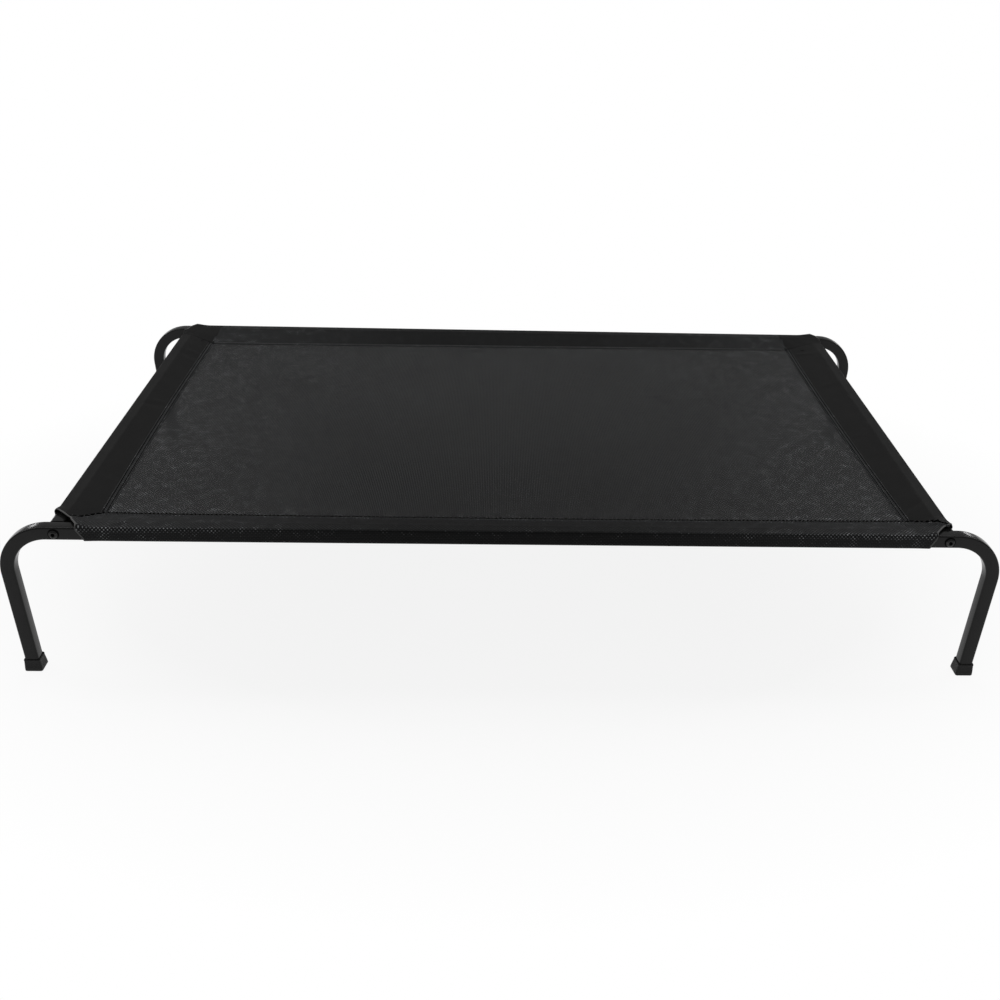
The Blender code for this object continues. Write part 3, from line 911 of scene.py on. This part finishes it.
# Each tape's section: how far inwards from the stitching, and how high over the cloth
END_TAPE = ((-0.0046, 0.0001), (-0.0042, 0.0010), (-0.0033, 0.0013), (-0.0027, 0.0004), (-0.0019, 0.0004),
            (-0.0012, 0.0014), (0.0, 0.0017), (0.0012, 0.0014), (0.0019, 0.0004), (0.0027, 0.0004),
            (0.0033, 0.0013), (0.0042, 0.0010), (0.0046, 0.0001))
LONG_TAPE = ((-0.0088, -0.0002), (-0.0080, 0.0011), (-0.0066, 0.0016), (-0.0052, 0.0014), (-0.0044, 0.0008),
             (-0.0030, 0.0006), (-0.0008, 0.0007), (0.0010, 0.0007), (0.0026, 0.0006), (0.0031, -0.0002))
FAR_TAPE = ((-0.0036, -0.0002), (-0.0030, 0.0007), (-0.0010, 0.0009), (0.0010, 0.0009), (0.0022, 0.0006),
            (0.0026, -0.0002))
TAPES = {"near": LONG_TAPE, "far": FAR_TAPE, "left": END_TAPE, "right": END_TAPE}
DARK_BAND = -0.0045  # the near seam's tape is near-black from here on inwards: dark overlock thread plus painted shadow of the seam's fold
TAPE_STEP = 0.0018


def sewn_tape(side):
    """The folded seam allowance along a seam: a low strip with stitched-down grooves."""
    low, high = seam_span(side)
    a = np.linspace(low, high, int((high - low) / TAPE_STEP))
    points, _, inward, up = seam_frame(side, a)
    ripple = 1 + 0.10 * np.sin(a * 2 * math.pi / STITCH_PITCH)
    offset, height = np.array(TAPES[side]).T
    rise = height[None] * ripple[:, None] + tilt_of(side, a) * np.maximum(-offset, 0)[None]
    grid = points[:, None] + offset[None, :, None] * inward[:, None]
    grid = lifted(grid + rise[..., None] * up[:, None])
    across = np.broadcast_to(offset[None], grid.shape[:2])
    travel = np.broadcast_to(a[:, None], grid.shape[:2])
    uvs = np.stack([travel, across], axis=-1)
    piece = make_grid(f"seam_tape_{side}", grid, uvs, TAPE, flip=side in ("near", "right"))
    # the near tape's inner part gets the painted seam shadow
    if side == "near":
        piece.data.materials.append(SEAM_SHADOW_BAND)
        for face in piece.data.polygons:
            column = face.index % (len(offset) - 1)
            face.material_index = int(offset[column] > DARK_BAND)
    return piece


def tilt_of(side, a):
    """How steeply a sleeve's upper sheet falls towards its seam, on the sleeve's side of it only."""
    depth, height = seam_line(side, a)
    return ((TOP - height) / np.maximum(depth - INNER, 0.006))[:, None]


def lifted(points):
    """Moves trim up with the cloth at the corners' rims."""
    ups = np.zeros_like(points)
    ups[..., 2] = 1
    return mouth_flare(points, ups)


def seam_span(side):
    if side == "near":
        return -SLEEVE_REACH[side][0][0] + 0.001, SLEEVE_REACH[side][1][0] - 0.001
    if side == "far":
        return CROSSING[side, "left"][0], CROSSING[side, "right"][0]
    return CROSSING["near", side][1], CROSSING["far", side][1]


# A stitch's rings: the share of its length, and its height and radius in thread radii
STITCH_SHAPE = ((0, -1.6, 0.55), (0.16, 0.1, 1.0), (0.5, 0.55, 1.1), (0.84, 0.1, 1.0), (1, -1.6, 0.55))
STITCH_SIDES = 6


def stitch_rings(start, end, up, radius):
    """Rings of one stitch: a thread that dips into the cloth at both ends."""
    along_thread = end - start
    side = np.cross(unit(along_thread), up)
    turns = np.arange(STITCH_SIDES) * math.pi / 3
    rings = []
    for share, rise, size in STITCH_SHAPE:
        middle = start + along_thread * share + up * radius * rise
        rings.append([middle + (side * math.cos(t) + up * math.sin(t)) * radius * size for t in turns])
    return rings


def threads(name, stitches, radius, material=THREAD):
    """One mesh of many stitches, each given as start, end and up."""
    vertices, faces = [], []
    for start, end, up in stitches:
        base = len(vertices)
        rings = stitch_rings(np.asarray(start), np.asarray(end), np.asarray(up), radius)
        for ring in rings:
            vertices.extend(ring)
        last = base + (len(rings) - 1) * STITCH_SIDES
        for ring in range(base, last, STITCH_SIDES):
            for k in range(STITCH_SIDES):
                a, b = ring + k, ring + (k + 1) % STITCH_SIDES
                faces.append((a, b, b + STITCH_SIDES, a + STITCH_SIDES))
        faces.append(tuple(range(base, base + STITCH_SIDES))[::-1])
        faces.append(tuple(range(last, last + STITCH_SIDES)))
    uvs = np.zeros((len(vertices), 2))
    return make_object(name, vertices, faces, uvs, material, weld=False)


# Each row of stitches: how far inwards from the seam, and how high over the cloth
LONG_ROWS = ((0.0, 0.0010),)
END_ROWS = ((-0.0023, 0.0008), (0.0023, 0.0008))


def seam_stitches(side, wander):
    """Two straight rows on an end seam; one row of slanted stitches over a long seam's edge."""
    low, high = seam_span(side)
    count = int((high - low) / STITCH_PITCH)
    stitches = []
    for row, (offset, height) in enumerate(LONG_ROWS if side in LONG else END_ROWS):
        a = low + (np.arange(count) + 0.5 + 0.3 * row) * STITCH_PITCH
        a = np.clip(a + wander.uniform(-0.0002, 0.0002, count), low, high)
        points, forward, inward, up = seam_frame(side, a)
        rise = height + tilt_of(side, a) * max(-offset, 0)
        middle = lifted(points + offset * inward + rise * up)
        skew = wander.uniform(-0.05, 0.05, count)
        if side in LONG:
            skew += OVERLOCK * (-1.0) ** np.arange(count)
        for k in range(count):
            half = (forward[k] + inward[k] * skew[k]) * STITCH_LENGTH / 2
            stitches.append((middle[k] - half, middle[k] + half, up[k]))
    radius, material = (EDGE_THREAD, EDGING) if side in LONG else (STITCH_RADIUS, THREAD)
    return threads(f"stitches_{side}", stitches, radius, material)


# The rolled hem: its points, how far its middle lies in from the rim, and its half width and height
HEM_POINTS = 120
HEM_INSET = 0.0006
HEM_WIDTH = 0.0012
HEM_HEIGHT = 0.0009


def hem(side, end):
    """The rolled rim of the cover round one corner."""
    line = HEMS[side, end]
    steps = along(line)
    keep = np.concatenate([[True], np.diff(steps) > 1e-5])
    line, steps = line[keep], steps[keep]
    fine = np.linspace(0, steps[-1], HEM_POINTS)
    line = np.stack([np.interp(fine, steps, line[:, k]) for k in range(3)], axis=1)
    for _ in range(6):
        line[1:-1] = (line[:-2] + 2 * line[1:-1] + line[2:]) / 4
    normals = rim_normals(line, side, end)
    line = mouth_flare(line, normals)
    forward = unit(np.gradient(line, axis=0))
    back = np.cross(forward, normals)
    corner = np.array([SIGN[end], SIGN[side], 0.0])
    back *= -np.sign(back @ corner + 1e-9)[:, None]
    rings = []
    turns = np.linspace(0, 2 * math.pi, 15)[:-1]
    for place, normal, inward in zip(line, normals, back):
        middle = place + inward * HEM_INSET
        width, height = inward * HEM_WIDTH, normal * HEM_HEIGHT
        rings.append([middle + width * math.cos(t) + height * math.sin(t) for t in turns])
    return loft(f"rolled_hem_{side}_{end}", rings, HEM)


def rim_normals(line, side, end):
    """Directions out of the cloth along the rim."""
    corner = np.array([SIGN[end], SIGN[side]])
    past = corner * line[:, :2] - (OUT_X - TUBE_EDGE, OUT_Y - TUBE_EDGE)
    out = np.zeros_like(line)
    out[:, :2] = corner * np.maximum(past, 0)
    out[:, 2] = np.maximum(line[:, 2] - (RAIL_Z + INSET), 0) + np.minimum(line[:, 2] - (RAIL_Z - INSET), 0)
    return unit(out + 1e-9)


def level_line(degrees, length):
    """A level line of that length, turned from +X."""
    return np.array([math.cos(math.radians(degrees)), math.sin(math.radians(degrees)), 0]) * length


def bar_tacks():
    """Crossed tacks at the far corners, with a straight one on each side."""
    stitches = []
    for end in ENDS:
        cross_x, cross_y = CROSSING["far", end]
        z = RAIL_Z - SEAM_DROP + corner_lift(cross_x, cross_y) + 0.0015
        for angle, shift in ((38, 0.0), (142, 0.0), (90, 0.004), (90, -0.004)):
            reach = level_line(angle, 0.0062)
            middle = np.array([cross_x + shift, cross_y, z])
            for k in range(4):
                start = middle - reach + reach * 0.5 * k
                stitches.append((start, start + reach * 0.45, (0, 0, 1)))
    return threads("corner_bar_tacks", stitches, TACK_RADIUS)


# Each loose end: x, y, height over the rails' middle, and its direction in degrees
LOOSE_ENDS = (
    (-0.5435, 0.3240, 0.0045, 20), (0.5420, 0.3190, 0.0050, -25), (-0.5290, -0.3265, 0.0035, 75),
)


def thread_ends():
    """Loose thread ends at the ends of the seams."""
    ends = []
    for x, y, z, angle in LOOSE_ENDS:
        reach = level_line(angle, 0.0045)
        middle = np.array([x, y, RAIL_Z + z])
        ends.append((middle - reach, middle + reach, (0, 0, 1)))
    return threads("loose_thread_ends", ends, LOOSE_RADIUS)


def build_cover():
    wander = np.random.default_rng(11)
    cloth = finish_piece(panel(), "mesh_cloth", "mesh_panel")
    trims = {}
    for side in SIDES:
        trims[side] = [sewn_tape(side), seam_stitches(side, wander)]
        for piece in trims[side]:
            finish_piece(piece, "mesh_cloth" if side in LONG else "woven_cloth")
    for side in LONG:
        for end in ENDS:
            trims[side].append(finish_piece(hem(side, end), "woven_cloth"))
    for piece in (bar_tacks(), thread_ends()):
        trims["far"].append(finish_piece(piece, "woven_cloth"))
    for side in SIDES:
        material, slot = (DOUBLE_MESH, "mesh_cloth") if side in LONG else (WOVEN, "woven_cloth")
        piece = finish_piece(sleeve(side, material), slot, f"sleeve_{side}")


build_cover()


# ---- stage, light and camera
FLOOR_GLOW = 0.88  # how much of the floor's shade is hidden under the bed
WORLD_STRENGTH = 0.32


def floor_material():
    """Pale floor that keeps a soft shadow and meets a white background."""
    n = Nodes("studio_floor")
    n.set(Base_Color=grey(0.80), Roughness=0.9, Specular_IOR_Level=0.0)
    rays = n.add("ShaderNodeLightPath").outputs
    glow = n.add("ShaderNodeEmission", {"Color": grey(1.0), "Strength": 1.0})
    seen = n.math("MAXIMUM", rays["Is Glossy Ray"], rays["Is Transmission Ray"])
    seen = n.math("MAXIMUM", rays["Is Camera Ray"], seen)
    place = n.scaled(n.place(), (0.8, 1.0, 0.0))
    away = n.add("ShaderNodeVectorMath", {0: place}, operation="LENGTH").outputs["Value"]
    share = n.times(seen, n.ramp(away, 0.50, 0.85, FLOOR_GLOW, 1.0))
    blend = n.add("ShaderNodeMixShader", {0: share, 1: n.shader.outputs[0], 2: glow.outputs[0]})
    n.put(n.output.inputs["Surface"], blend.outputs[0])
    return n.material


def build_stage():
    bpy.ops.mesh.primitive_plane_add(size=60)
    floor = bpy.context.object
    floor.name = "studio_floor"
    floor.data.materials.append(floor_material())
    world = bpy.data.worlds.new("studio")
    bpy.context.scene.world = world
    world.use_nodes = True
    tree = world.node_tree
    light = tree.nodes["Background"]
    backdrop = tree.nodes.new("ShaderNodeBackground")
    for node, strength in ((light, WORLD_STRENGTH), (backdrop, 1.0)):
        node.inputs["Color"].default_value = grey(1.0)
        node.inputs["Strength"].default_value = strength
    rays = tree.nodes.new("ShaderNodeLightPath")
    blend = tree.nodes.new("ShaderNodeMixShader")
    sources = (rays.outputs["Is Camera Ray"], light.outputs[0], backdrop.outputs[0])
    for source, socket in zip(sources, blend.inputs):
        tree.links.new(source, socket)
    tree.links.new(blend.outputs[0], tree.nodes["World Output"].inputs["Surface"])
    bpy.context.scene.view_settings.view_transform = "Standard"


def area_light(name, place, aim, size, watts):
    data = bpy.data.lights.new(name, "AREA")
    data.shape = "RECTANGLE"
    data.size, data.size_y = size
    data.energy = watts
    lamp = linked(bpy.data.objects.new(name, data))
    lamp.location = place
    lamp.rotation_euler = (Vector(aim) - Vector(place)).to_track_quat("-Z", "Y").to_euler()
    lamp.visible_camera = False


def build_lights():
    area_light("overhead_softbox", (0.0, 1.1, 2.5), (0, 0, 0.2), (2.2, 1.0), 15)
    for end in ENDS:
        sign = SIGN[end]
        area_light(f"{end}_strip", (sign * 1.45, 0.15, 1.9), (sign * 0.35, 0.15, 0.2), (0.45, 2.2), 12)
        area_light(f"{end}_back_strip", (sign * 2.3, 2.3, 0.98), (sign * 0.62, -0.38, 0.2), (0.34, 0.20), 2.2)


CAMERA_PLACE = (-0.0209, -1.7188, 0.9476)
CAMERA_TURN = (27.173, 2.574, -1.786)  # down, to the right and about the view, in degrees


def build_camera():
    data = bpy.data.cameras.new("photo_camera")
    data.lens = 42.705
    data.sensor_width = 36.0
    data.shift_x = -0.04
    camera = linked(bpy.data.objects.new("photo_camera", data))
    pitch, yaw, roll = (math.radians(angle) for angle in CAMERA_TURN)
    forward = Vector((math.sin(yaw) * math.cos(pitch), math.cos(yaw) * math.cos(pitch), -math.sin(pitch)))
    right = Vector((math.cos(yaw), -math.sin(yaw), 0))
    down = forward.cross(right)
    across = right * math.cos(roll) + down * math.sin(roll)
    below = down * math.cos(roll) - right * math.sin(roll)
    turn = Matrix((across, -below, -forward)).transposed().to_4x4()
    camera.matrix_world = Matrix.Translation(CAMERA_PLACE) @ turn
    bpy.context.scene.camera = camera


build_stage()
build_lights()
build_camera()
